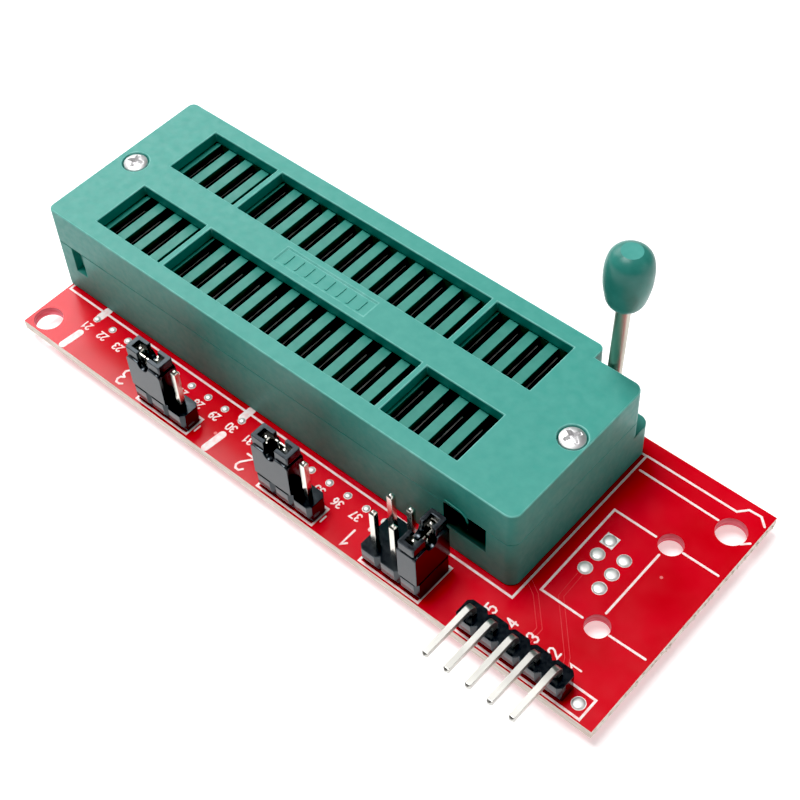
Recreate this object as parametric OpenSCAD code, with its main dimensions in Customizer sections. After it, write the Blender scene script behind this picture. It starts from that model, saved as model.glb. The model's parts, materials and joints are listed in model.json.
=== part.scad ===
// Programming adapter: a circuit board with a lever-operated 40-way chip socket,
// three jumper headers, a right-angle programming header and an empty jack footprint.
// Lengths are in millimetres. Before placing, x = 0 is the first socket column,
// y = 0 the middle of the socket and z = 0 the top of the board.

/* [Board] */
// Length of the circuit board
board_length = 79.3; // [79:0.1:90]
// Width of the circuit board
board_width = 30.6; // [30.4:0.1:40]
// Thickness of the laminate
board_thickness = 1.2; // [0.8:0.1:2]
// Diameter of the two mounting holes
mounting_hole_d = 3.3; // [2.5:0.1:3.4]
// Diameter of the two peg holes of the jack footprint
peg_hole_d = 2.65; // [2:0.05:3.5]
// Distance between the two peg holes
peg_spacing = 12.05; // [10:0.05:12.5]
// Length of the soldered tails below the board
tail_below = 1.4; // [1.2:0.1:3]

/* [Socket] */
// Length of the socket body
socket_length = 65; // [64.6:0.1:66]
// Width of the socket body
socket_width = 22.2; // [21.8:0.1:24]
// Height of the socket body above the board
socket_height = 11.7; // [11.5:0.1:13]
// Height of the socket base, up to the parting line
base_height = 7; // [6.9:0.1:7.2]
// Width of the slots for the chip's legs
slot_width = 1.32; // [1.2:0.02:1.4]
// Travel of the slider from open to closed
slider_travel = 0.9; // [0.4:0.05:0.95]

/* [Lever] */
// Diameter of the lever rod
rod_d = 1.5; // [1.2:0.05:1.5]
// Height of the knob's top above the hinge line
lever_reach = 21.8; // [18:0.1:30]
// Lean of the open lever towards the closed side, in degrees
lever_lean = 2; // [0:0.5:4]
// Length of the knob
knob_length = 7.4; // [6:0.1:10]
// Greatest diameter of the knob
knob_d = 4.8; // [4:0.1:5.4]

/* [Headers] */
// Width of the square header pins
pin_width = 0.64; // [0.5:0.02:0.64]
// Height of the pin tips above the board
pin_top = 8.15; // [7.5:0.05:8.4]
// Length of the programming pins from their bend to their tips
icsp_reach = 6.95; // [5:0.05:9]
// Height of the programming pins above the board
icsp_height = 3.9; // [3.7:0.05:5]
// Height of a jumper cap
cap_height = 5.86; // [5.6:0.02:6.2]

/* [Hidden] */
$fn = 48;
cut = 1;

pitch = 2.54;
columns = 20;

board_left = -6.35;
board_right = board_left + board_length;
board_front = -18.35;
board_rear = board_front + board_width;

socket_left = -7;
socket_right = socket_left + socket_length;
socket_side = socket_width / 2;
socket_corner = 1.2;
cover_height = socket_height - base_height;
inset_start = 51.9;
inset_side = socket_side - 1.8;
inset_corner = 0.8;
ledge_height = 4.75;

// Windows over the columns, in groups of 4, 12 and 4, with thin ribs between them.
window_groups = [[0, 3], [4, 15], [16, 19]];
window_end_margin = 1.22;
rib_width = 0.7;
window_inner = 2;
window_outer = 9.03;

hinge_x = 53.5;
hinge_z = 5.7;
rod_r = rod_d / 2;
crank_offset = slider_travel / sqrt(2);
crank_x = hinge_x + crank_offset * sin(45);
crank_z = hinge_z - crank_offset * cos(45);
crank_side = 7.1;
journal_inner = 6.7;
rod_front_end = -9;
bend_r = 1;
rod_side = inset_side + bend_r;
knob_start = lever_reach - knob_length;
knob_r = knob_d / 2;
knob_grip = 5;

bay_floor = 3.4;
bay_left = 50.6;
bay_right = 56.2;
bay_side = 7.3;
bay_inner = 3;
channel_half = 1.45;
bearing_front = -8.6;
bearing_gap = 0.05;

slider_bottom = base_height + 0.1;
slider_top = socket_height - 1.6;
slider_left = -2.3;
slider_right = 50.7;
slider_side = 9.4;
slot_inner = 1.7;
slot_outer = 9.1;
arm_end = 56;
arm_top = slider_bottom + 1.5;
arm_inner = 3.2;
arm_outer = 6.6;
leg_bottom = 4.1;
leg_left = 51.7;
yoke_gap = 0.05;

cavity_left = slider_left - slider_travel - 0.2;
cavity_right = slider_right + 0.25;
cavity_side = slider_side + 0.2;
cavity_top = slider_top + 0.15;
arm_cavity_right = arm_end + 0.3;
arm_cavity_top = arm_top + 0.2;
weld = 0.5;

// Recesses in the front face, as spans along X.
plain_recess = [-4.5, -2.8];
crank_recess = [49.4, 54.6];
crank_recess_deep = 51.8;
recess_depth = 0.9;

label_low = [17.7, -1.1];
label_high = [30.4, 1.15];
label_depth = 0.2;

blade_thickness = 0.2;
blade_x = -0.45;
blade_inner = 3.2;
blade_outer = 8.7;
blade_top = 9.2;
contact_row = 7.62;
contact_tail = [0.3, 0.5];
tail_slack = 0.2;
pocket_floor = 0.4;
foot_thickness = 0.5;

screw_spots = [-4.8, 56.2];
screw_head_d = 2.7;
screw_head_h = 1;
screw_dome = 0.36;
screw_clearance = 0.36;
screw_shank_d = 1.7;
screw_tip_z = 2.2;
screw_sink = 0.1;
screw_cross = [1.7, 0.4, 1.3];

header_height = pitch;
header_notch = 0.42;
header_foot = 1;
header_row = -16.76;
pin_chamfer = 0.2;
j1_first = 45.5;
j2_first = 31.32;
j3_first = 13.1;
icsp_first = 57.6;
icsp_pins_fitted = 5;
icsp_bend = 0.75;

cap_length = 5;
cap_width = 2.4;
cap_lift = 0.06;
cap_bottom = header_height + cap_lift;
cap_centre = pitch / 2;

jack_x = [61.85, 64.32];
jack_first_y = -0.5;
jack_pitch = 2.03;
jack_peg_x = 66.72;
jack_centre_y = -3.07;
via_row = -13;
mounting_holes = [[-4.4, -16.4], [70.4, 8]];

plating = 0.05;
foil = 0.04;
solder_rim = 0.05;
solder_dome = 0.2;
bare_tail = 0.45;

// Holes as [x, y, finished radius, pad radius].
socket_holes = [for (i = [0:columns - 1], side = [-1, 1]) [i * pitch, side * contact_row, 0.4, 0.75]];
header_holes = concat(
    [for (i = [0:2], row = [0, 1]) [j1_first + i * pitch, header_row + row * pitch, 0.5, 0.85]],
    [for (i = [0:2]) [j2_first + i * pitch, header_row, 0.5, 0.85]],
    [for (i = [0:2]) [j3_first + i * pitch, header_row, 0.5, 0.85]]
);
icsp_holes = [for (i = [0:icsp_pins_fitted - 1]) [icsp_first + i * pitch, header_row, 0.5, 0.72]];
spare_holes = concat(
    [[icsp_first + icsp_pins_fitted * pitch, header_row, 0.5, 0.72]],
    [for (i = [0:2]) [jack_x[1], jack_first_y - (i + 0.5) * jack_pitch, 0.5, 0.76]],
    [for (i = [1:2]) [jack_x[0], jack_first_y - i * jack_pitch, 0.5, 0.76]]
);
square_pad_hole = [jack_x[0], jack_first_y, 0.5, 0.75];
via_holes = [for (i = [0:columns - 1]) [i * pitch, via_row, 0.2, 0.44]];
plated_holes = concat(socket_holes, header_holes, icsp_holes, spare_holes, via_holes);

// The last two vias lie under the housing of the double header.
open_vias = [for (i = [0:columns - 3]) via_holes[i]];
covered_vias = [for (i = [columns - 2:columns - 1]) via_holes[i]];

// The whole object stands on its tails, with the middle of its bounds at x = y = 0.
tips_y = header_row - icsp_reach;
middle_x = (min(socket_left, board_left) + board_right) / 2;
middle_y = (tips_y + max(board_rear, rod_side + knob_r)) / 2;
stand_z = board_thickness + tail_below;

module place() {
    translate([-middle_x, -middle_y, stand_z]) children();
}

// A box given by its two corners.
module block(low, high) {
    translate(low) cube(high - low);
}

module rounded_rectangle(low, high, r) {
    translate([low[0] + r, low[1]]) square([high[0] - low[0] - 2 * r, high[1] - low[1]]);
    translate([low[0], low[1] + r]) square([high[0] - low[0], high[1] - low[1] - 2 * r]);
    for (x = [low[0] + r, high[0] - r], y = [low[1] + r, high[1] - r]) {
        translate([x, y]) circle(r);
    }
}

// ---- Circuit board ----

module board_laminate() {
    color("firebrick") place() difference() {
        block([board_left, board_front, -board_thickness], [board_right, board_rear, 0]);
        for (spot = mounting_holes) drill(spot, mounting_hole_d / 2);
        for (side = [-0.5, 0.5]) drill([jack_peg_x, jack_centre_y + side * peg_spacing], peg_hole_d / 2);
        for (hole = concat(plated_holes, [square_pad_hole])) drill(hole, hole[2] + plating);
    }
}

module drill(spot, r) {
    translate([spot[0], spot[1], -board_thickness - cut]) cylinder(r = r, h = board_thickness + 2 * cut);
}

// Tinned pads on both faces, joined by a plated barrel.
module board_pads() {
    color("silver") place() {
        for (hole = plated_holes) barrel(hole) circle(hole[3]);
        barrel(square_pad_hole) square(2 * square_pad_hole[3], center = true);
    }
}

module barrel(hole) {
    full = board_thickness + 2 * foil;
    translate([hole[0], hole[1], -board_thickness - foil]) difference() {
        union() {
            linear_extrude(foil) children();
            cylinder(r = hole[2] + plating, h = full);
            translate([0, 0, full - foil]) linear_extrude(foil) children();
        }
        translate([0, 0, -cut]) cylinder(r = hole[2], h = full + 2 * cut);
    }
}

// Solder that fills each hole, and rises around a tail where there is one.
module solder_joints() {
    color("lightgray") place() {
        for (hole = socket_holes) fillet_of_solder(hole, contact_tail);
        for (hole = concat(header_holes, icsp_holes)) fillet_of_solder(hole, [pin_width, pin_width]);
        for (hole = concat(spare_holes, [square_pad_hole], open_vias)) solder_plug(hole, solder_dome);
        for (hole = covered_vias) solder_plug(hole, 0);
    }
}

// Solder that fills a hole without a tail, flush or with a low dome over its upper pad.
module solder_plug(hole, dome) {
    under = board_thickness + foil;
    dome_r = hole[3] - solder_rim;
    profile = concat([[0, 0]], [for (t = [0:22.5:90]) [dome_r * cos(t), dome * sin(t)]]);
    translate([hole[0], hole[1], -under]) {
        cylinder(r = hole[2], h = under + foil);
        if (dome > 0) translate([0, 0, under + foil]) rotate_extrude() polygon(profile);
    }
}

module fillet_of_solder(hole, tail) {
    under = board_thickness + foil;
    height = tail_below - foil - bare_tail;
    translate([hole[0], hole[1], 0]) difference() {
        union() {
            translate([0, 0, -under]) cylinder(r = hole[2], h = under);
            translate([0, 0, -under - height])
                cylinder(r1 = norm(tail) / 2 + solder_rim, r2 = hole[3] - solder_rim, h = height);
        }
        translate([0, 0, -under]) cube([tail[0], tail[1], 4 * under], center = true);
    }
}

// ---- Chip socket ----

module socket_outline() {
    rounded_rectangle([socket_left, -socket_side], [socket_right, inset_side], socket_corner);
    rounded_rectangle([socket_left, -socket_side], [inset_start, socket_side], inset_corner);
}

module socket_base() {
    color("seagreen") place() difference() {
        translate([0, 0, foil]) {
            linear_extrude(ledge_height - foil)
                rounded_rectangle([socket_left, -socket_side], [socket_right, socket_side], socket_corner);
            linear_extrude(base_height - foil) socket_outline();
        }
        for (i = [0:columns - 1], side = [-1, 1]) contact_pocket(i * pitch, side);
        crank_bay();
        bearing_grooves();
        side_recesses();
        for (x = screw_spots) {
            translate([x, 0, screw_tip_z]) cylinder(d = screw_shank_d, h = base_height);
        }
    }
}

// A pocket for one contact, with a hole in its floor for the tail.
module contact_pocket(x, side) {
    half = slot_width / 2;
    mirror([0, side < 0 ? 1 : 0, 0]) {
        block([x - half, slot_inner + 0.8, pocket_floor], [x + half, slot_outer, base_height + cut]);
        translate([x, contact_row, 0])
            cube([contact_tail[0] + tail_slack, contact_tail[1] + tail_slack, 2 * cut], center = true);
    }
}

// Room for the crank and for the legs of the slider's yoke.
module crank_bay() {
    top = base_height + cut;
    block([hinge_x - channel_half, -bay_side, bay_floor], [hinge_x + channel_half, bay_side, top]);
    for (side = [0, 1]) mirror([0, side, 0]) {
        block([bay_left, bay_inner, bay_floor], [bay_right, bay_side, top]);
    }
}

// Open-topped grooves that carry the two ends of the lever's shaft.
module bearing_grooves() {
    groove_r = rod_r + bearing_gap;
    length = inset_side - bearing_front + 2 * cut;
    translate([hinge_x, bearing_front - cut, hinge_z]) rotate([-90, 0, 0]) cylinder(r = groove_r, h = length);
    block(
        [hinge_x - groove_r, bearing_front - cut, hinge_z],
        [hinge_x + groove_r, inset_side + cut, base_height + cut]
    );
}

// Recesses in the front face: a narrow one at the left and a stepped one at the crank.
module side_recesses() {
    front = -socket_side - cut;
    back = -socket_side + recess_depth;
    top = base_height + cut;
    block([plain_recess[0], front, bay_floor], [plain_recess[1], back, top]);
    block([crank_recess[0], front, bay_floor], [crank_recess[1], back, top]);
    block([crank_recess_deep, front, bay_floor], [crank_recess[1], bearing_front, top]);
}

module socket_cover() {
    color("mediumaquamarine") place() {
        difference() {
            translate([0, 0, base_height]) linear_extrude(cover_height) socket_outline();
            cover_cavity();
            for (group = window_groups, side = [-1, 1]) window(group, side);
            for (x = screw_spots) screw_seat(x);
            label_panel();
        }
        for (side = [-1, 1]) bearing_keeper(side);
    }
}

module cover_cavity() {
    block([cavity_left, -cavity_side, base_height - cut], [cavity_right, cavity_side, cavity_top]);
    for (side = [0, 1]) mirror([0, side, 0]) {
        block(
            [slider_right - cut, arm_inner - 0.2, base_height - cut],
            [arm_cavity_right, arm_outer + 0.2, arm_cavity_top]
        );
    }
}

module window(group, side) {
    left_margin = group[0] == 0 ? window_end_margin : (pitch - rib_width) / 2;
    right_margin = group[1] == columns - 1 ? window_end_margin : (pitch - rib_width) / 2;
    mirror([0, side < 0 ? 1 : 0, 0]) block(
        [group[0] * pitch - left_margin, window_inner, cavity_top - cut],
        [group[1] * pitch + right_margin, window_outer, socket_height + cut]
    );
}

module screw_seat(x) {
    translate([x, 0, socket_height - screw_head_h - screw_sink])
        cylinder(d = screw_head_d + screw_clearance, h = 2 * screw_head_h);
    translate([x, 0, base_height - cut]) cylinder(d = screw_shank_d + 0.3, h = cover_height);
}

module label_panel() {
    block(concat(label_low, socket_height - label_depth), concat(label_high, socket_height + cut));
}

// Blocks under the cover that close the bearing grooves over the shaft.
module bearing_keeper(side) {
    inner = bay_side + 0.1;
    outer = side < 0 ? -bearing_front : inset_side - 0.2;
    mirror([0, side < 0 ? 1 : 0, 0]) block(
        [hinge_x - rod_r, inner, hinge_z + rod_r + bearing_gap],
        [hinge_x + rod_r, outer, base_height + weld]
    );
}

// The sliding comb under the cover, with a yoke around the lever's crank.
module socket_slider() {
    half = slot_width / 2;
    gap_half = rod_r + yoke_gap;
    color("mediumseagreen") place() {
        difference() {
            block([slider_left, -slider_side, slider_bottom], [slider_right, slider_side, slider_top]);
            for (i = [0:columns - 1], side = [0, 1]) mirror([0, side, 0]) block(
                [i * pitch - half, slot_inner, slider_bottom - cut],
                [i * pitch + half, slot_outer, slider_top + cut]
            );
        }
        for (side = [0, 1]) mirror([0, side, 0]) {
            block([slider_right - weld, arm_inner, slider_bottom], [arm_end, arm_outer, arm_top]);
            block([leg_left, arm_inner, leg_bottom], [crank_x - gap_half, arm_outer, slider_bottom + weld]);
            block([crank_x + gap_half, arm_inner, leg_bottom], [arm_end, arm_outer, slider_bottom + weld]);
        }
    }
}

// One spring contact: a long blade beside the slot, a foot and a soldered tail.
module contact(x, side) {
    tail_half = contact_tail / 2;
    blade_left = blade_x - blade_thickness / 2;
    blade_right = blade_left + blade_thickness;
    foot_top = pocket_floor + foot_thickness;
    near = contact_row - tail_half[1];
    far = contact_row + tail_half[1];
    mirror([0, side < 0 ? 1 : 0, 0]) translate([x, 0, 0]) {
        block([blade_left, blade_inner, foot_top - weld / 2], [blade_right, blade_outer, blade_top]);
        block([blade_left, near, pocket_floor], [tail_half[0], far, foot_top]);
        block([-tail_half[0], near, -board_thickness - tail_below], [tail_half[0], far, foot_top]);
    }
}

module contacts_front() {
    color("silver") place() for (i = [0:columns - 1]) contact(i * pitch, -1);
}

module contacts_rear() {
    color("silver") place() for (i = [0:columns - 1]) contact(i * pitch, 1);
}

module cover_screws() {
    rim_z = socket_height - screw_sink;
    crown = concat([[0, 0]], [for (t = [0:18:90]) [screw_head_d / 2 * cos(t), screw_dome * sin(t)]]);
    color("gainsboro") place() for (x = screw_spots) translate([x, 0, 0]) difference() {
        union() {
            translate([0, 0, screw_tip_z]) cylinder(d = screw_shank_d, h = rim_z - weld - screw_tip_z);
            translate([0, 0, rim_z - screw_head_h]) cylinder(d = screw_head_d, h = screw_head_h);
            translate([0, 0, rim_z]) rotate_extrude() polygon(crown);
        }
        for (turn = [20, 110]) rotate([0, 0, turn]) {
            translate([0, 0, rim_z + screw_dome]) cube(screw_cross, center = true);
        }
    }
}

// ---- Lever ----

// Bent rod: two journals, an offset crank between them, a bend and an upright.
module lever_rod() {
    color("lightsteelblue") place() {
        shaft(hinge_x, hinge_z, rod_front_end, -journal_inner);
        shaft(crank_x, crank_z, -crank_side, crank_side);
        shaft(hinge_x, hinge_z, journal_inner, inset_side);
        leaning() {
            translate([0, inset_side, bend_r])
                rotate([0, 90, 0]) rotate_extrude(angle = 90) translate([bend_r, 0]) circle(rod_r);
            translate([0, rod_side, bend_r]) cylinder(r = rod_r, h = knob_start + knob_grip - bend_r);
        }
    }
}

// Turns the lever's arm about the hinge line, from which its parts are measured.
module leaning() {
    translate([hinge_x, 0, hinge_z]) rotate([0, lever_lean, 0]) children();
}

module shaft(x, z, y_from, y_to) {
    translate([x, y_from, z]) rotate([-90, 0, 0]) cylinder(r = rod_r, h = y_to - y_from);
}

// Bullet shape, widest above its middle, with a flat crown.
module lever_knob() {
    waist_z = 0.6 * knob_length;
    foot = 0.5;
    crown = 0.52;
    inside = [[0, knob_length], [0, knob_grip], [rod_r, knob_grip], [rod_r, 0]];
    lower = [for (t = [0:15:75]) [knob_r * (foot + (1 - foot) * sin(t)), waist_z * (1 - cos(t))]];
    crown_rise = knob_length - waist_z;
    upper = [for (t = [0:15:90]) [knob_r * (crown + (1 - crown) * cos(t)), waist_z + crown_rise * sin(t)]];
    color("seagreen") place() leaning() translate([0, rod_side, knob_start])
        rotate_extrude() polygon(concat(inside, lower, upper));
}

// ---- Headers ----

// Moulded strip of cells with notched corners, rows deep, narrowed towards the board.
module header_strip(first_x, count, rows) {
    half = pitch / 2;
    depth = rows * pitch;
    cell = [
        [-half + header_notch, -half], [half - header_notch, -half],
        [half, -half + header_notch], [half, -half + depth - header_notch],
        [half - header_notch, -half + depth], [-half + header_notch, -half + depth],
        [-half, -half + depth - header_notch], [-half, -half + header_notch]
    ];
    front = header_row - half;
    side_view = [
        [front + header_notch, foil], [front + depth - header_notch, foil], [front + depth, header_foot],
        [front + depth, header_height], [front, header_height], [front, header_foot]
    ];
    difference() {
        intersection() {
            linear_extrude(header_height) for (i = [0:count - 1]) {
                translate([first_x + i * pitch, header_row]) polygon(cell);
            }
            translate([first_x - pitch, 0, 0])
                rotate([90, 0, 90]) linear_extrude((count + 1) * pitch) polygon(side_view);
        }
        for (i = [0:count - 1], row = [0:rows - 1]) {
            translate([first_x + i * pitch, header_row + row * pitch, 0])
                cube([pin_width, pin_width, 4 * header_height], center = true);
        }
    }
}

// Square pin along +Z from z_low to z_high, with a chamfered tip.
module square_pin(z_low, z_high) {
    intersection() {
        rotate([90, 0, 0]) linear_extrude(pin_width, center = true) pin_profile(z_low, z_high);
        rotate([90, 0, 90]) linear_extrude(pin_width, center = true) pin_profile(z_low, z_high);
    }
}

module pin_profile(z_low, z_high) {
    half = pin_width / 2;
    tip = half - pin_chamfer;
    polygon([
        [-tip, z_low], [tip, z_low], [half, z_low + pin_chamfer], [half, z_high - pin_chamfer],
        [tip, z_high], [-tip, z_high], [-half, z_high - pin_chamfer], [-half, z_low + pin_chamfer]
    ]);
}

module header_pins(first_x, count, rows) {
    for (i = [0:count - 1], row = [0:rows - 1]) {
        translate([first_x + i * pitch, header_row + row * pitch, 0])
            square_pin(-board_thickness - tail_below, pin_top);
    }
}

module j1_housing() { color("black") place() header_strip(j1_first, 3, 2); }
module j1_pins() { color("silver") place() header_pins(j1_first, 3, 2); }
module j2_housing() { color("black") place() header_strip(j2_first, 3, 1); }
module j2_pins() { color("silver") place() header_pins(j2_first, 3, 1); }
module j3_housing() { color("black") place() header_strip(j3_first, 3, 1); }
module j3_pins() { color("silver") place() header_pins(j3_first, 3, 1); }
module icsp_housing() { color("black") place() header_strip(icsp_first, icsp_pins_fitted, 1); }

// Pins that rise through the housing, bend and run out over the front edge.
module icsp_pins() {
    low = -board_thickness - tail_below;
    half = pin_width / 2;
    color("silver") place() for (i = [0:icsp_pins_fitted - 1]) {
        translate([icsp_first + i * pitch, header_row, 0]) {
            intersection() {
                square_pin(low, icsp_height);
                block([-pitch, -pitch, low], [pitch, pitch, icsp_height - icsp_bend]);
            }
            translate([0, -icsp_bend, icsp_height - icsp_bend]) rotate([0, -90, 0]) rotate_extrude(angle = 90)
                translate([icsp_bend - half, -half]) square(pin_width);
            translate([0, 0, icsp_height]) rotate([90, 0, 0]) intersection() {
                square_pin(0, icsp_reach);
                block([-pitch, -pitch, icsp_bend], [pitch, pitch, icsp_reach]);
            }
        }
    }
}

// ---- Jumper caps ----

// Shell around two pins, open at the top and bottom, with a scooped notch in the middle.
module cap_shell() {
    half = cap_length / 2;
    plate = 0.2;
    core_half = cap_width / 2 - plate;
    face_height = cap_height - 1.25;
    scoop_r = 0.75;
    cavity = [1.95, 0.52];
    end_groove = [0.4, 2 * cap_width, 0.36];
    difference() {
        union() {
            linear_extrude(cap_height) rounded_rectangle([-half, -core_half], [half, core_half], plate);
            rotate([90, 0, 0]) linear_extrude(cap_width, center = true) {
                rounded_rectangle([-half, 0], [half, face_height], 0.5);
                translate([-half, 0]) square([cap_length, face_height / 2]);
            }
        }
        block(concat(-cavity, -cut), concat(cavity, cap_height + cut));
        translate([0, 0, face_height]) rotate([90, 0, 0])
            cylinder(r = scoop_r, h = 2 * cap_width, center = true);
        block([-scoop_r, -cap_width, face_height], [scoop_r, cap_width, cap_height + cut]);
        for (side = [-half, half]) translate([side, 0, face_height]) cube(end_groove, center = true);
    }
}

// Folded spring strip that joins the two pins.
module cap_clip() {
    skin = 0.15;
    gap = 0.04;
    inner = pin_width / 2 + gap;
    outer = inner + skin;
    end = 1.9;
    bay = end - skin;
    lip = 0.75;
    bottom = 0.5;
    height = cap_height - 2 * bottom - 0.05;
    slit = [0.24, 0.9];
    translate([0, 0, bottom]) difference() {
        linear_extrude(height) polygon([
            [-end, outer], [end, outer], [end, -outer], [lip, -outer], [lip, -inner], [bay, -inner],
            [bay, inner], [-bay, inner], [-bay, -inner], [-lip, -inner], [-lip, -outer], [-end, -outer]
        ]);
        block([-slit[0] / 2, inner - cut, height - slit[1]], [slit[0] / 2, outer + cut, height + cut]);
    }
}

// Places a cap on its first pin and the next one along +X or, turned, along +Y.
// A flipped cap faces the other way.
module over_pins(first_x, turn, flip) {
    translate([first_x, header_row, cap_bottom])
        rotate([0, 0, turn]) translate([cap_centre, 0, 0]) rotate([0, 0, flip]) children();
}

module j1_cap_shell() { color("dimgray") place() over_pins(j1_first + 2 * pitch, 90, 180) cap_shell(); }
module j1_cap_clip() { color("silver") place() over_pins(j1_first + 2 * pitch, 90, 180) cap_clip(); }
module j2_cap_shell() { color("dimgray") place() over_pins(j2_first, 0, 0) cap_shell(); }
module j2_cap_clip() { color("silver") place() over_pins(j2_first, 0, 0) cap_clip(); }
module j3_cap_shell() { color("dimgray") place() over_pins(j3_first, 0, 180) cap_shell(); }
module j3_cap_clip() { color("silver") place() over_pins(j3_first, 0, 180) cap_clip(); }

board_laminate();
board_pads();
solder_joints();
socket_base();
socket_cover();
socket_slider();
contacts_front();
contacts_rear();
cover_screws();
lever_rod();
lever_knob();
j1_housing();
j1_pins();
j2_housing();
j2_pins();
j3_housing();
j3_pins();
icsp_housing();
icsp_pins();
j1_cap_shell();
j1_cap_clip();
j2_cap_shell();
j2_cap_clip();
j3_cap_shell();
j3_cap_clip();
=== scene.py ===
"""Looks of a chip programming adapter: a red board with a green lever-locked socket.

Places are given in millimetres in the board's own frame: x = 0 at the socket's first
column, y = 0 along the socket's middle and z = 0 at the board's top. at() turns them
into the row frame's metres.
"""

import json
import math
import random

import bmesh
import bpy
from mathutils import Matrix, Vector

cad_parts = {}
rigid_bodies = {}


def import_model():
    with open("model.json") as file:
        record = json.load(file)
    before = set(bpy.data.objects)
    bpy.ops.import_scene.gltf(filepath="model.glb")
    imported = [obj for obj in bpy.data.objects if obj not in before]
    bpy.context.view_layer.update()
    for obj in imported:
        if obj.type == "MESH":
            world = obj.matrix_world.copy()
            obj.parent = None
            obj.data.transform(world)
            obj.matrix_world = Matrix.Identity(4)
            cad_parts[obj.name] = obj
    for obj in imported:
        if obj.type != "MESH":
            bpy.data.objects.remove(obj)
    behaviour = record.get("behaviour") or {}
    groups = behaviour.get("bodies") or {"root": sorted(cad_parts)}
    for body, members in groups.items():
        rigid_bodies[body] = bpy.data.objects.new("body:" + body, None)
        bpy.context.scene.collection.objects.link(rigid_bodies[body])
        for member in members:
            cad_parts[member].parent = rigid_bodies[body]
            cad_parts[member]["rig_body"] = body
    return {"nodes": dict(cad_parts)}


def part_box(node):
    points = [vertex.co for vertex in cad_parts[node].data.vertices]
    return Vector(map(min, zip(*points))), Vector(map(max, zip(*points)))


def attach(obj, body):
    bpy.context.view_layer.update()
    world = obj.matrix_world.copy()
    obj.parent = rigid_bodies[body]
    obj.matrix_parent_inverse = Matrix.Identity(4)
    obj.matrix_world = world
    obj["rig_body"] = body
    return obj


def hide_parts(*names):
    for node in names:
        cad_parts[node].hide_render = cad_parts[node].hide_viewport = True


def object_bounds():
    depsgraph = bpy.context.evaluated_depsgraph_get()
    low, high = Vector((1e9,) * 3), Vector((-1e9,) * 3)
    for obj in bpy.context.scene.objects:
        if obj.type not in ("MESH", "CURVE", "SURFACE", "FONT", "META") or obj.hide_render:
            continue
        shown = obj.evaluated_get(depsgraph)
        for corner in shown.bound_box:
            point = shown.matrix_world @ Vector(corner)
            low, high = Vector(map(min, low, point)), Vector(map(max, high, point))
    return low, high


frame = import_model()
cad_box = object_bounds()

MM = 0.001
PITCH = 2.54
COLUMNS = 20
SOCKET_LEFT = -7
BOARD_THICKNESS = 1.2
LEVER_LEAN = 2

scene = bpy.context.scene
cover_low, cover_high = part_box("socket_cover")
board_low, board_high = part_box("board_laminate")
ORIGIN = Vector((cover_low.x - SOCKET_LEFT * MM, (cover_low.y + cover_high.y) / 2, board_high.z))


def at(x, y, z=0.0):
    """A point of the board's frame, in the row frame's metres."""
    return ORIGIN + Vector((x, y, z)) * MM


def in_mm(point):
    """A point of the row frame, in the board frame's millimetres: the reverse of at()."""
    return (point - ORIGIN) / MM


# ---- Materials ----


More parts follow.
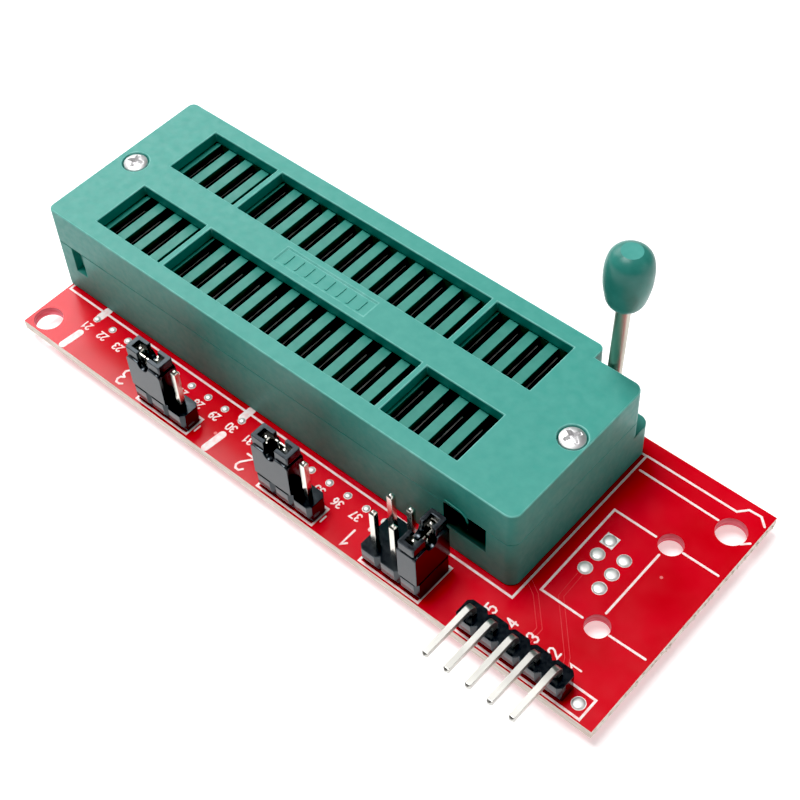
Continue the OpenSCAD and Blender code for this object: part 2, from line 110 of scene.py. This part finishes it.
class Surface:
    """A node material around one principled shader, with a few ways to vary it."""

    def __init__(self, name, **sockets):
        self.material = bpy.data.materials.new(name)
        self.material.use_nodes = True
        self.nodes = self.material.node_tree.nodes
        self.links = self.material.node_tree.links
        self.shader = self.nodes["Principled BSDF"]
        for socket, value in sockets.items():
            self.shader.inputs[socket.replace("_", " ")].default_value = value
        self.place = self.node("ShaderNodeTexCoord").outputs["Object"]

    def node(self, kind, **settings):
        made = self.nodes.new(kind)
        for name, value in settings.items():
            setattr(made, name, value)
        return made

    def noise(self, size_mm, detail=3.0, stretch=(1, 1, 1)):
        """Noise whose features are about size_mm wide, stretched along an axis by a factor."""
        mapping = self.node("ShaderNodeMapping")
        mapping.inputs["Scale"].default_value = [1 / (size_mm * MM * s) for s in stretch]
        self.links.new(self.place, mapping.inputs["Vector"])
        noise = self.node("ShaderNodeTexNoise")
        noise.inputs["Scale"].default_value = 1.0
        noise.inputs["Detail"].default_value = detail
        self.links.new(mapping.outputs["Vector"], noise.inputs["Vector"])
        return noise.outputs["Fac"]

    def ramp(self, fac, low, high, start=0.35, end=0.65):
        """fac from start to end runs from colour or number low to high."""
        ramp = self.node("ShaderNodeMapRange", clamp=True)
        ramp.inputs["From Min"].default_value = start
        ramp.inputs["From Max"].default_value = end
        self.links.new(fac, ramp.inputs["Value"])
        if not isinstance(low, (tuple, list)):
            ramp.inputs["To Min"].default_value = low
            ramp.inputs["To Max"].default_value = high
            return ramp.outputs["Result"]
        return self.mix(ramp.outputs["Result"], low, high)

    def mix(self, fac, low, high):
        """Colour low where fac is 0 and high where it is 1; either may be another output."""
        mix = self.node("ShaderNodeMix", data_type="RGBA")
        self.links.new(fac, mix.inputs["Factor"])
        for socket, value in ((mix.inputs[6], low), (mix.inputs[7], high)):
            if isinstance(value, (tuple, list)):
                socket.default_value = (*value, 1)
            else:
                self.links.new(value, socket)
        return mix.outputs[2]

    def specks(self, size_mm, share):
        """1 on small scattered specks that cover a share of the cells, else 0."""
        cells = self.node("ShaderNodeTexVoronoi")
        cells.inputs["Scale"].default_value = 1 / (size_mm * MM)
        self.links.new(self.place, cells.inputs["Vector"])
        near = self.node("ShaderNodeMath", operation="LESS_THAN")
        near.inputs[1].default_value = 0.12
        self.links.new(cells.outputs["Distance"], near.inputs[0])
        split = self.node("ShaderNodeSeparateColor")
        self.links.new(cells.outputs["Color"], split.inputs["Color"])
        chosen = self.node("ShaderNodeMath", operation="LESS_THAN")
        chosen.inputs[1].default_value = share
        self.links.new(split.outputs["Red"], chosen.inputs[0])
        both = self.node("ShaderNodeMath", operation="MULTIPLY")
        self.links.new(near.outputs["Value"], both.inputs[0])
        self.links.new(chosen.outputs["Value"], both.inputs[1])
        return both.outputs["Value"]

    def colour(self, output):
        self.links.new(output, self.shader.inputs["Base Color"])

    def roughness(self, output):
        self.links.new(output, self.shader.inputs["Roughness"])

    def bump(self, height, depth_mm):
        """Raises the surface by the height output, from 0 to depth_mm."""
        bump = self.node("ShaderNodeBump")
        bump.inputs["Strength"].default_value = 1.0
        bump.inputs["Distance"].default_value = depth_mm * MM
        self.links.new(height, bump.inputs["Height"])
        self.links.new(bump.outputs["Normal"], self.shader.inputs["Normal"])


def solder_mask():
    """Glossy red mask on the board's two faces, with a little dust."""
    surface = Surface("red_mask", IOR=1.45)
    mask = surface.ramp(surface.noise(9), (0.56, 0.003, 0.009), (0.66, 0.006, 0.018))
    surface.colour(surface.mix(surface.specks(1.6, 0.04), mask, (0.8, 0.2, 0.2)))
    surface.roughness(surface.ramp(surface.noise(3), 0.2, 0.26))
    surface.bump(surface.noise(0.5), 0.0005)
    return surface.material


def glass_laminate(name, dark, light):
    """Sawn or drilled glass laminate, with its layers showing as faint lines."""
    surface = Surface(name, Roughness=0.6)
    surface.colour(surface.ramp(surface.noise(0.25, stretch=(8, 8, 1)), dark, light))
    surface.bump(surface.noise(0.15), 0.01)
    return surface.material


def copper_under_mask():
    """Tracks: the same mask, a little brighter over copper; on the top tracks, drawn only at their edges,
    the brighter colour is also a painted highlight.
    """
    surface = Surface("red_track")
    surface.colour(surface.ramp(surface.noise(2), (0.66, 0.02, 0.03), (0.74, 0.035, 0.045)))
    surface.roughness(surface.ramp(surface.noise(1), 0.28, 0.36))
    surface.bump(surface.noise(0.5), 0.001)
    return surface.material


def silk_ink():
    """Matt printed ink that lets a little of the red through."""
    surface = Surface("silk_ink", Roughness=0.55)
    surface.colour(surface.ramp(surface.noise(0.5), (0.93, 0.62, 0.61), (0.95, 0.85, 0.84), 0.3, 0.6))
    surface.bump(surface.noise(0.12), 0.004)
    return surface.material


def moulded_green(name, dark, light, roughness=(0.36, 0.5)):
    """Satin moulded plastic, faintly mottled."""
    surface = Surface(name, IOR=1.42)
    surface.colour(surface.ramp(surface.noise(1.2, 5.0), dark, light, 0.3, 0.7))
    surface.roughness(surface.ramp(surface.noise(0.8), *roughness))
    surface.bump(surface.noise(0.2, 2.0), 0.003)
    return surface.material


def moulded_black(name, dark, light, roughness):
    """Smooth black plastic with a cool sheen."""
    surface = Surface(name, IOR=1.57, Specular_Tint=(0.76, 0.9, 1, 1))
    surface.colour(surface.ramp(surface.noise(0.7), dark, light))
    surface.roughness(surface.ramp(surface.noise(0.4), *roughness))
    surface.bump(surface.noise(0.15, 2.0), 0.002)
    return surface.material


def plated(name, dark, light, roughness, grain=(1, 1, 1)):
    """Tin, nickel or solder: metal with a fine grain and uneven shine."""
    surface = Surface(name, Metallic=1.0)
    surface.colour(surface.ramp(surface.noise(1.2, 2.0, grain), dark, light))
    surface.roughness(surface.ramp(surface.noise(0.8, 1.0, grain), *roughness))
    surface.bump(surface.noise(0.4, 0.0, grain), 0.0002)
    return surface.material


# ---- Pieces ----


def piece(name, mesh_maker, material, body):
    """A new mesh from bmesh code, riding on a body."""
    bm = bmesh.new()
    mesh_maker(bm)
    bmesh.ops.recalc_face_normals(bm, faces=bm.faces)
    mesh = bpy.data.meshes.new(name)
    bm.to_mesh(mesh)
    bm.free()
    mesh.materials.append(material)
    made = bpy.data.objects.new(name, mesh)
    scene.collection.objects.link(made)
    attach(made, body)
    return made


def smooth(made, angle):
    """Shades a piece smooth, apart from edges sharper than an angle in degrees."""
    made.data.shade_smooth()
    made.data.set_sharp_from_angle(angle=math.radians(angle))
    return made


def copied(node, name, material):
    """A CAD node's own shape with its triangles joined into faces, standing for the node."""
    source = frame["nodes"][node]
    mesh = source.data.copy()
    mesh.name = name
    bm = bmesh.new()
    bm.from_mesh(mesh)
    bmesh.ops.remove_doubles(bm, verts=bm.verts, dist=0.001 * MM)
    bmesh.ops.dissolve_limit(bm, angle_limit=math.radians(1), verts=bm.verts, edges=bm.edges)
    bm.to_mesh(mesh)
    bm.free()
    mesh.materials.clear()
    mesh.materials.append(material)
    made = bpy.data.objects.new(name, mesh)
    scene.collection.objects.link(made)
    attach(made, source["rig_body"])
    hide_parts(node)
    return made


def softened(node, name, material, width, segments=2, edge_highlight=None):
    """A copied node with its sharp edges rounded off, its bevels in a lighter material as a painted
    highlight if one is given.
    """
    made = copied(node, name, material)
    made.data.shade_smooth()
    bevel = made.modifiers.new("soft_edges", "BEVEL")
    bevel.width = width * MM
    bevel.segments = segments
    bevel.limit_method = "ANGLE"
    bevel.angle_limit = math.radians(40)
    bevel.use_clamp_overlap = False
    bevel.loop_slide = False
    if edge_highlight:
        made.data.materials.append(edge_highlight)
        bevel.material = 1
    weighted = made.modifiers.new("flat_faces", "WEIGHTED_NORMAL")
    weighted.mode = "FACE_AREA"
    weighted.weight = 100
    return made


def repaint_faces(made, material, chosen):
    """Gives a piece's chosen faces a further material; chosen gets their centre in mm and normal."""
    made.data.materials.append(material)
    for face in made.data.polygons:
        if chosen(in_mm(face.center), face.normal):
            face.material_index = len(made.data.materials) - 1


def repaint(node, material):
    """Gives a CAD node that keeps its own mesh a better material."""
    slots = frame["nodes"][node].data.materials
    slots.clear()
    slots.append(material)


# ---- Flat shapes on the board ----


def offset_sides(points, width, closed):
    """The left and right outline of a strip of constant width, mitred at its corners."""
    left, right = [], []
    count = len(points)
    for i, point in enumerate(points):
        before = (point - points[i - 1]).normalized() if closed or i else None
        after = (points[(i + 1) % count] - point).normalized() if closed or i < count - 1 else None
        before, after = before or after, after or before
        along = (before + after).normalized()
        side = Vector((-along.y, along.x)) * (width / 2 / max(0.5, along.dot(after)))
        left.append(point + side)
        right.append(point - side)
    return left, right


def half_circle(centre, start):
    """Points of the half circle that runs clockwise from start around centre, without its ends."""
    steps = 5
    arm = start - centre
    turns = [-math.pi * (i + 1) / (steps + 1) for i in range(steps)]
    return [centre + Matrix.Rotation(turn, 2) @ arm for turn in turns]


def prism(bm, outline, low, high):
    """An upright solid on an outline of the board's plane."""
    top = [bm.verts.new(at(x, y, high)) for x, y in outline]
    bottom = [bm.verts.new(at(x, y, low)) for x, y in outline]
    bm.faces.new(top)
    bm.faces.new(list(reversed(bottom)))
    for i in range(len(outline)):
        bm.faces.new((bottom[i - 1], bottom[i], top[i], top[i - 1]))


def stroke(bm, points, width, low, high):
    """A strip along a polyline, with round ends; it is closed if it ends where it starts."""
    points = [Vector(point) for point in points]
    closed = (points[0] - points[-1]).length < 1e-6
    if closed:
        points.pop()
    left, right = offset_sides(points, width, closed)
    if not closed:
        end = half_circle(points[-1], left[-1])
        start = half_circle(points[0], right[0])
        prism(bm, left + end + right[::-1] + start, low, high)
        return
    rings = []
    for side, z in ((left, high), (right, high), (right, low), (left, low)):
        rings.append([bm.verts.new(at(point.x, point.y, z)) for point in side])
    for k in range(4):
        ring, following = rings[k], rings[(k + 1) % 4]
        for i in range(len(points)):
            bm.faces.new((ring[i - 1], ring[i], following[i], following[i - 1]))


# Digits drawn in single strokes, in a cell 2 wide and 4 high.
SIX = [
    [(1.7, 4), (0.7, 3.3), (0.1, 1.9)],
    [(0.1, 1.2), (0.6, 2.2), (1.5, 2.2), (2, 1.2), (1.5, 0), (0.6, 0), (0.1, 1.2)],
]
DIGITS = {
    "0": [[(0, 1), (0, 3), (0.5, 4), (1.5, 4), (2, 3), (2, 1), (1.5, 0), (0.5, 0), (0, 1)]],
    "1": [[(0.4, 3.1), (1.2, 4), (1.2, 0)]],
    "2": [[(0.1, 3.3), (0.6, 4), (1.5, 4), (2, 3.3), (1.8, 2.4), (0, 0), (2, 0)]],
    "3": [
        [(0.1, 3.6), (0.6, 4), (1.5, 4), (1.9, 3.3), (1.7, 2.5), (1, 2.1)],
        [(1, 2.1), (1.8, 1.7), (2, 0.9), (1.5, 0.1), (0.6, 0), (0, 0.5)],
    ],
    "4": [[(1.5, 0), (1.5, 4)], [(1.5, 4), (0, 1.2), (2, 1.2)]],
    "5": [[(1.9, 4), (0.3, 4), (0.1, 2.2), (1.2, 2.5), (1.9, 2), (2, 1), (1.4, 0.1), (0.5, 0), (0, 0.5)]],
    "6": SIX,
    "7": [[(0, 4), (2, 4), (0.7, 0)]],
    "8": [
        [(1, 2.1), (0.2, 2.8), (0.4, 3.7), (1, 4), (1.6, 3.7), (1.8, 2.8), (1, 2.1)],
        [(1, 2.1), (0, 1.3), (0.2, 0.4), (1, 0), (1.8, 0.4), (2, 1.3), (1, 2.1)],
    ],
    "9": [[(2 - x, 4 - y) for x, y in line] for line in SIX],
}
HALF_TURN, QUARTER_TURN = 180, 90
# Strokes that cross are given slightly different tops, so that no two lie in one plane.
INK_LOW, INK_HIGH = -0.01, 0.03


def numeral(bm, digits, centre, height, turn, width):
    """A number in stroked digits, turned about its centre by an angle in degrees."""
    unit = height / 4
    advance = 2.9 * unit
    rotation = Matrix.Rotation(math.radians(turn), 2)
    for place, digit in enumerate(digits):
        shift = Vector(((place - (len(digits) - 1) / 2) * advance - unit, -2 * unit))
        for order, line in enumerate(DIGITS[digit]):
            points = [Vector(centre) + rotation @ (Vector(point) * unit + shift) for point in line]
            stroke(bm, points, width, INK_LOW, INK_HIGH + 0.003 * order)


def rectangle(x0, y0, x1, y1):
    return [(x0, y0), (x1, y0), (x1, y1), (x0, y1), (x0, y0)]


def silkscreen(bm):
    """Outlines of the parts, round-ended stripes, pin numbers and header numbers."""
    line = 0.25
    outlines = [
        rectangle(-5.94, -11.78, 58.5, 10.3),
        rectangle(11.83, -17.97, 19.5, -15.5),
        rectangle(30.0, -18.0, 37.7, -15.5),
        rectangle(44.2, -18.05, 51.85, -12.95),
        rectangle(56.3, -18.05, 71.35, -15.5),
    ]
    jack = [
        [(65.02, 2.8), (59.96, 2.82), (60.08, -9.26), (65.05, -9.23)],
        [(66.5, 1.25), (66.5, -7.4)],
        [(68.2, 2.89), (72.3, 2.9)],
        [(68.2, -9.2), (72.3, -9.1)],
    ]
    lever = [
        [(58.57, 10.35), (69.45, 10.35), (70.3, 11.3), (71.71, 11.37), (72.6, 10.55)],
        [(59.02, 8.43), (68.61, 8.33)],
        [(71.9, 7.32), (72.6, 8.0)],
    ]
    for points in outlines:
        stroke(bm, points, line, INK_LOW, INK_HIGH)
    for order, points in enumerate(jack + lever):
        stroke(bm, points, line, INK_LOW, INK_HIGH - 0.004 - 0.001 * order)
    for x in (-0.1, 22.5):
        stroke(bm, [(x - 0.15, -17.95), (x + 0.05, -15.6)], 0.9, INK_LOW, INK_HIGH)
        stroke(bm, [(x + 0.1, -12.6), (x + 0.15, -11.3)], 0.95, INK_LOW, INK_HIGH - 0.002)
    for i in range(COLUMNS):
        numeral(bm, str(21 + i), (i * PITCH - 0.22, -14.35), 0.88, HALF_TURN, 0.17)
    for number, x in ((3, 8.65), (2, 26.93), (1, 41.6)):
        numeral(bm, str(number), (x, -16.75), 2.1, HALF_TURN, 0.24)
    for i in range(5):
        numeral(bm, str(5 - i), (57.7 + i * PITCH, -14.0), 1.2, QUARTER_TURN, 0.2)
    for x in (19.9, 38.1):
        stroke(bm, [(x, -17.1), (x, -16.3)], 0.19, INK_LOW, INK_HIGH)


def top_tracks(bm):
    """The raised sides of the few tracks that show under the mask by the jack and the header, in the
    brighter track colour: partly the mask's tone over copper, partly a painted highlight along the track
    edges.
    """
    for points in (
        [(61.9, -5.5), (62.0, -8.6), (66.6, -13.6), (67.76, -16.0)],
        [(58.3, -9.0), (60.0, -10.0), (62.65, -12.8), (62.68, -16.0)],
    ):
        for side in offset_sides([Vector(point) for point in points], 0.5, False):
            stroke(bm, side, 0.07, -0.01, 0.012)


def bottom_tracks(bm):
    """Tracks under the board from each via to its contact, and from three contacts to the headers."""
    low, high = -BOARD_THICKNESS - 0.02, -BOARD_THICKNESS + 0.01
    contact_row, via_row, header_row = 7.62, -13.0, -16.76
    for i in range(COLUMNS):
        stroke(bm, [(i * PITCH, via_row), (i * PITCH, -contact_row)], 0.4, low, high)
    bus = -contact_row + 2.6
    for i, first_pin in ((0, 13.1), (9, 31.32), (16, 45.5)):
        lane = bus + 0.9 * (i % 3)
        end = first_pin - PITCH / 2
        route = [(i * PITCH, contact_row), (i * PITCH, lane), (end, lane - 3), (end, header_row)]
        stroke(bm, route, 0.5, low, high)


# ---- Turned shapes ----


def band_corners(ring, above, k):
    """The corners of one face between two rings, either of which may be a single point."""
    if len(ring) == 1:
        return ring[0], above[k], above[k - 1]
    if len(above) == 1:
        return ring[k - 1], ring[k], above[0]
    return ring[k - 1], ring[k], above[k], above[k - 1]


def lathe(bm, profile, centre, segments=64):
    """A solid of revolution about an upright axis; profile is (radius, z) from bottom to top."""
    turns = [2 * math.pi * k / segments for k in range(segments)]
    rings = []
    for radius, z in profile:
        directions = [(math.cos(turn), math.sin(turn)) for turn in turns] if radius else [(0, 0)]
        rings.append([
            bm.verts.new(at(centre[0] + radius * x, centre[1] + radius * y, z)) for x, y in directions
        ])
    for ring, above in zip(rings, rings[1:]):
        for k in range(segments):
            bm.faces.new(band_corners(ring, above, k))


def rounded(corners):
    """A smooth line along corners: a quadratic curve around each, from middle to middle."""
    steps = 6
    line = [Vector(corners[0])]
    for before, corner, after in zip(corners, corners[1:], corners[2:]):
        a, b, c = (Vector(p) for p in (before, corner, after))
        start = line[-1] if before == corners[0] else (a + b) / 2
        end = c if after == corners[-1] else (b + c) / 2
        for i in range(1, steps + 1):
            t = i / steps
            line.append(start * (1 - t) ** 2 + b * 2 * t * (1 - t) + end * t ** 2)
    return line


def knob(bm):
    """Bullet-shaped knob on the leaning rod, with a small flat crown."""
    low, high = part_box("lever_knob")
    middle = (low + high) / 2
    centre = in_mm(middle)
    lean_allowance = 0.08
    length = (high.z - low.z) / MM - lean_allowance
    radius = (high.y - low.y) / 2 / MM
    rod, bore_depth = 0.75, 0.5
    sides = rounded([
        (0.47 * radius, 0.0), (0.78 * radius, 0.07 * length), (0.93 * radius, 0.3 * length),
        (1.02 * radius, 0.5 * length), (1.0 * radius, 0.78 * length), (0.8 * radius, 0.95 * length),
        (0.45 * radius, length),
    ])
    crown = [(0.4 * radius, length), (0.0, length)]
    profile = [(rod, bore_depth), (rod, 0.0)] + [tuple(p) for p in sides] + crown
    lathe(bm, [(r, centre.z + z - length / 2) for r, z in profile], centre)
    lean = Matrix.Rotation(math.radians(LEVER_LEAN), 3, "Y")
    bmesh.ops.rotate(bm, verts=bm.verts, cent=middle, matrix=lean)


def recess_depth(x, y):
    """Depth of a tapering cross recess at a point of a screw head, all in mm."""
    reach, half_width, depth, wall_run = 0.98, 0.24, 0.6, 0.14
    deepest = 0.0
    for along, across in ((abs(x), abs(y)), (abs(y), abs(x))):
        taper = max(0.0, 1 - along / reach)
        width = half_width * (0.55 + 0.45 * taper)
        wall = min(1.0, max(0.0, (width - across) / wall_run + 0.5))
        deepest = max(deepest, depth * min(1.0, 1.9 * taper) * wall)
    return deepest


def screw_heads(bm):
    """Two domed heads with cross recesses, on plain shanks."""
    low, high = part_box("cover_screws")
    low, high = in_mm(low), in_mm(high)
    bottom, top = low.z, high.z
    y = (low.y + high.y) / 2
    radius, shank, dome, head = (high.y - low.y) / 2, 0.85, 0.36, 1.36
    rings, segments = 40, 128
    for x, turn in ((low.x + radius, 0.35), (high.x - radius, 1.1)):
        profile = [(0.0, bottom), (shank, bottom), (shank, top - head), (radius, top - head)]
        profile.append((radius, top - dome))
        crown = [radius * (rings - i) / rings for i in range(1, rings + 1)]
        profile += [(r, top - dome * (r / radius) ** 2.6) for r in crown]
        start = len(bm.verts)
        lathe(bm, profile, (x, y), segments)
        for vertex in list(bm.verts)[start:]:
            place = in_mm(vertex.co)
            if place.z < top - dome - 0.01:
                continue
            u, v = place.x - x, place.y - y
            across = u * math.cos(turn) + v * math.sin(turn)
            along = v * math.cos(turn) - u * math.sin(turn)
            vertex.co.z -= recess_depth(across, along) * MM


# ---- Small extras ----


def label_marks(bm):
    """A plain row of raised dashes in the cover's recessed panel."""
    panel_depth = 0.2
    dashes, first, step, half_length, width = 8, 18.9, 1.47, 0.65, 0.34
    panel_floor = in_mm(cover_high).z - panel_depth
    for k in range(dashes):
        x = first + step * k
        stroke(bm, [(x, -half_length), (x, half_length)], width, panel_floor - 0.02, panel_floor + 0.09)


def edge_nibs(bm):
    """Ragged glass fibres left along the board's right edge where it was broken off a panel."""
    draw = random.Random(5)
    right = in_mm(board_high).x
    front, rear = in_mm(board_low).y, in_mm(board_high).y
    y = front + 0.3
    while y < rear - 0.5:
        length = draw.uniform(0.25, 0.6)
        depth = draw.uniform(0.04, 0.16)
        low = draw.uniform(-BOARD_THICKNESS + 0.02, -0.7)
        outline = [(right - 0.05, y), (right + depth, y + 0.3 * length),
                   (right + 0.7 * depth, y + 0.7 * length), (right - 0.05, y + length)]
        prism(bm, outline, low, low + draw.uniform(0.2, 0.6))
        y += length + draw.uniform(0.1, 0.9)


def recess_lip(bm):
    """A raised bead on the socket's front face, over the recess by the crank."""
    front = in_mm(cover_low).y
    behind, proud, width = front + 0.02, front - 0.1, 0.16
    line = [Vector(point) for point in ((49.6, 7.6), (51.2, 7.5), (51.9, 7.3), (52.3, 6.9), (52.45, 6.4))]
    upper, lower = offset_sides(line, width, False)
    rings = []
    for side, y in ((upper, behind), (upper, proud), (lower, proud), (lower, behind)):
        rings.append([bm.verts.new(at(point.x, y, point.y)) for point in side])
    for ring, following in zip(rings, rings[1:] + rings[:1]):
        for i in range(1, len(line)):
            bm.faces.new((ring[i - 1], ring[i], following[i], following[i - 1]))
    for end in (0, -1):
        bm.faces.new([ring[end] for ring in rings])


# ---- Assembly ----


def on_board_edge(place, normal):
    """True on the board's four outer sides."""
    low, high = in_mm(board_low), in_mm(board_high)
    return min(place.x - low.x, high.x - place.x, place.y - low.y, high.y - place.y) < 0.2


def on_a_wall(place, normal):
    """True on upright faces, such as the sides of holes and slots."""
    return abs(normal.z) < 0.5


def in_a_pocket(place, normal):
    """True inside the base's contact pockets and the recess by the crank."""
    pocket = -1.5 < place.x < 50 and abs(place.y) < 9.3 and place.z < 6.9
    recess = 49.3 < place.x < 54.7 and -11.05 < place.y < -8 and 3.3 < place.z < 7
    return pocket or recess


def dress_board():
    sawn = glass_laminate("sawn_laminate", (0.74, 0.6, 0.52), (0.9, 0.82, 0.74))
    drilled = glass_laminate("drilled_laminate", (0.72, 0.06, 0.1), (0.85, 0.22, 0.28))
    board = copied("board_laminate", "board", solder_mask())
    repaint_faces(board, drilled, on_a_wall)
    repaint_faces(board, sawn, on_board_edge)
    repaint("board_pads", plated("tinned_pads", (0.8, 0.8, 0.79), (0.92, 0.92, 0.9), (0.4, 0.55)))
    solder = plated("solder", (0.8, 0.79, 0.77), (0.92, 0.91, 0.89), (0.52, 0.62))
    smooth(copied("solder_joints", "solder_domes", solder), 50)
    track = copper_under_mask()
    piece("top_tracks", top_tracks, track, "board")
    piece("bottom_tracks", bottom_tracks, track, "board")
    piece("silkscreen", silkscreen, silk_ink(), "board")
    piece("edge_nibs", edge_nibs, sawn, "board")


def dress_socket():
    green = moulded_green("socket_green", (0.04, 0.28, 0.235), (0.056, 0.31, 0.262))
    # The slider gets a darker copy of the cover's green: painted shade on its bars, which sit below the
    # cover's top.
    comb = moulded_green("slider_green", (0.028, 0.21, 0.17), (0.038, 0.25, 0.2))
    # Pocket and recess faces get a near-black green: painted shade in the hollows.
    shaded = moulded_green("shaded_green", (0.004, 0.03, 0.024), (0.008, 0.045, 0.036))
    # The slider's upright faces get a darker green: painted shade on the slot walls.
    slot_wall_shade = moulded_green("slot_wall_painted_shade", (0.012, 0.085, 0.068), (0.018, 0.11, 0.088))
    base = softened("socket_base", "base_moulding", green, 0.08)
    repaint_faces(base, shaded, in_a_pocket)
    # The cover's bevels get a lighter green: a painted highlight along its edges.
    edge_highlight = moulded_green("painted_edge_highlight", (0.08, 0.36, 0.31), (0.16, 0.46, 0.41))
    softened("socket_cover", "cover_moulding", green, 0.14, 3, edge_highlight)
    slider = softened("socket_slider", "slider_comb", comb, 0.06)
    repaint_faces(slider, slot_wall_shade, on_a_wall)
    piece("label_marks", label_marks, green, "board")
    piece("recess_lip", recess_lip, green, "board")
    # The contacts get a dark grey tin: painted shade for their place deep in the slots.
    contacts = plated("contact_tin_painted_shade", (0.08, 0.08, 0.078), (0.14, 0.14, 0.135), (0.4, 0.5))
    repaint("contacts_front", contacts)
    repaint("contacts_rear", contacts)
    steel = plated("screw_nickel", (0.68, 0.67, 0.68), (0.82, 0.82, 0.82), (0.46, 0.56))
    heads = smooth(piece("screws", screw_heads, steel, "board"), 75)
    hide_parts("cover_screws")


def dress_lever():
    steel = plated("lever_nickel", (0.42, 0.39, 0.33), (0.56, 0.53, 0.46), (0.34, 0.44), (1, 1, 9))
    repaint("lever_rod", steel)
    green = moulded_green("knob_green", (0.024, 0.18, 0.15), (0.036, 0.215, 0.18), (0.3, 0.38))
    # The knob's upward-facing crown gets a lighter copy of its green: a painted highlight on the top that
    # faces the light.
    crown = moulded_green("knob_crown_painted_light", (0.06, 0.3, 0.26), (0.08, 0.34, 0.3), (0.3, 0.38))
    grip = smooth(piece("knob", knob, green, "lever"), 15)
    repaint_faces(grip, crown, lambda place, normal: normal.z > 0.95)
    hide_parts("lever_knob")


def dress_headers():
    black = moulded_black("header_black", (0.003, 0.003, 0.004), (0.006, 0.006, 0.008), (0.15, 0.22))
    posts = plated("post_tin", (0.72, 0.7, 0.63), (0.82, 0.8, 0.73), (0.14, 0.2), (3, 3, 3))
    bent = plated("bent_tin", (0.52, 0.51, 0.48), (0.62, 0.61, 0.57), (0.3, 0.36), (5, 5, 5))
    cap = moulded_black("cap_black", (0.004, 0.004, 0.005), (0.01, 0.01, 0.012), (0.18, 0.26))
    for header in ("j1", "j2", "j3", "icsp"):
        softened(header + "_housing", header + "_strip", black, 0.05)
        softened(header + "_pins", header + "_posts", bent if header == "icsp" else posts, 0.03)
    for header in ("j1", "j2", "j3"):
        softened(header + "_cap_shell", header + "_cap", cap, 0.06)
        repaint(header + "_cap_clip", posts)


# ---- Stage ----


def stage():
    """A plain white floor at the level that the object stands on, a little lit from within."""
    surface = Surface("floor_white", Roughness=0.9, Emission_Color=(1, 1, 1, 1), Emission_Strength=0.52)
    surface.colour(surface.ramp(surface.noise(40), (0.7, 0.7, 0.7), (0.74, 0.74, 0.74)))
    bpy.ops.mesh.primitive_plane_add(size=4, location=(0, 0, cad_box[0].z - 0.02 * MM))
    floor = bpy.context.object
    floor.name = "floor"
    floor.data.materials.append(surface.material)


def soft_light(name, direction, distance, size, power):
    """A square area light in a direction from the object, aimed at it."""
    data = bpy.data.lights.new(name, "AREA")
    data.size = size
    data.energy = power
    lamp = bpy.data.objects.new(name, data)
    scene.collection.objects.link(lamp)
    lamp.location = Vector(direction).normalized() * distance
    lamp.rotation_mode = "QUATERNION"
    lamp.rotation_quaternion = lamp.location.to_track_quat("Z", "Y")


def lights():
    """Soft light from overhead, pale sheets low on the left and right, and a weak white surround."""
    soft_light("key", (-0.2, -0.06, 0.98), 0.6, 0.28, 3.35)
    soft_light("left", (-0.75, 0.3, 0.6), 0.55, 0.36, 1.7)
    soft_light("right", (0.9, 0.3, 0.35), 0.5, 0.3, 0.3)
    world = bpy.data.worlds.new("surround")
    world.use_nodes = True
    background = world.node_tree.nodes["Background"]
    background.inputs["Color"].default_value = (1, 1, 1, 1)
    background.inputs["Strength"].default_value = 0.11
    scene.world = world
    scene.view_settings.view_transform = "Standard"
    scene.view_settings.use_curve_mapping = True
    scene.view_settings.curve_mapping.black_level = (0.01, 0.01, 0.01)
    scene.view_settings.curve_mapping.update()


def camera():
    """The view from the right and the front, 51 degrees above the board and a little tilted."""
    azimuth, elevation, roll = (math.radians(angle) for angle in (-44.086, 51.113, -3.728))
    distance = 170.754
    target = at(33.957, -0.195)
    flat = math.cos(elevation)
    forward = Vector((math.sin(azimuth) * flat, math.cos(azimuth) * flat, -math.sin(elevation)))
    level = Vector((math.cos(azimuth), -math.sin(azimuth), 0))
    raised = level.cross(forward)
    right = level * math.cos(roll) + raised * math.sin(roll)
    up = raised * math.cos(roll) - level * math.sin(roll)
    data = bpy.data.cameras.new("camera")
    data.sensor_width = 36
    data.lens = 72.09
    data.clip_start = 0.005
    made = bpy.data.objects.new("camera", data)
    scene.collection.objects.link(made)
    made.matrix_world = Matrix.Translation(target - forward * distance * MM) @ Matrix(
        (right, up, -forward)
    ).transposed().to_4x4()
    scene.camera = made


camera()
dress_board()
dress_socket()
dress_lever()
dress_headers()
stage()
lights()
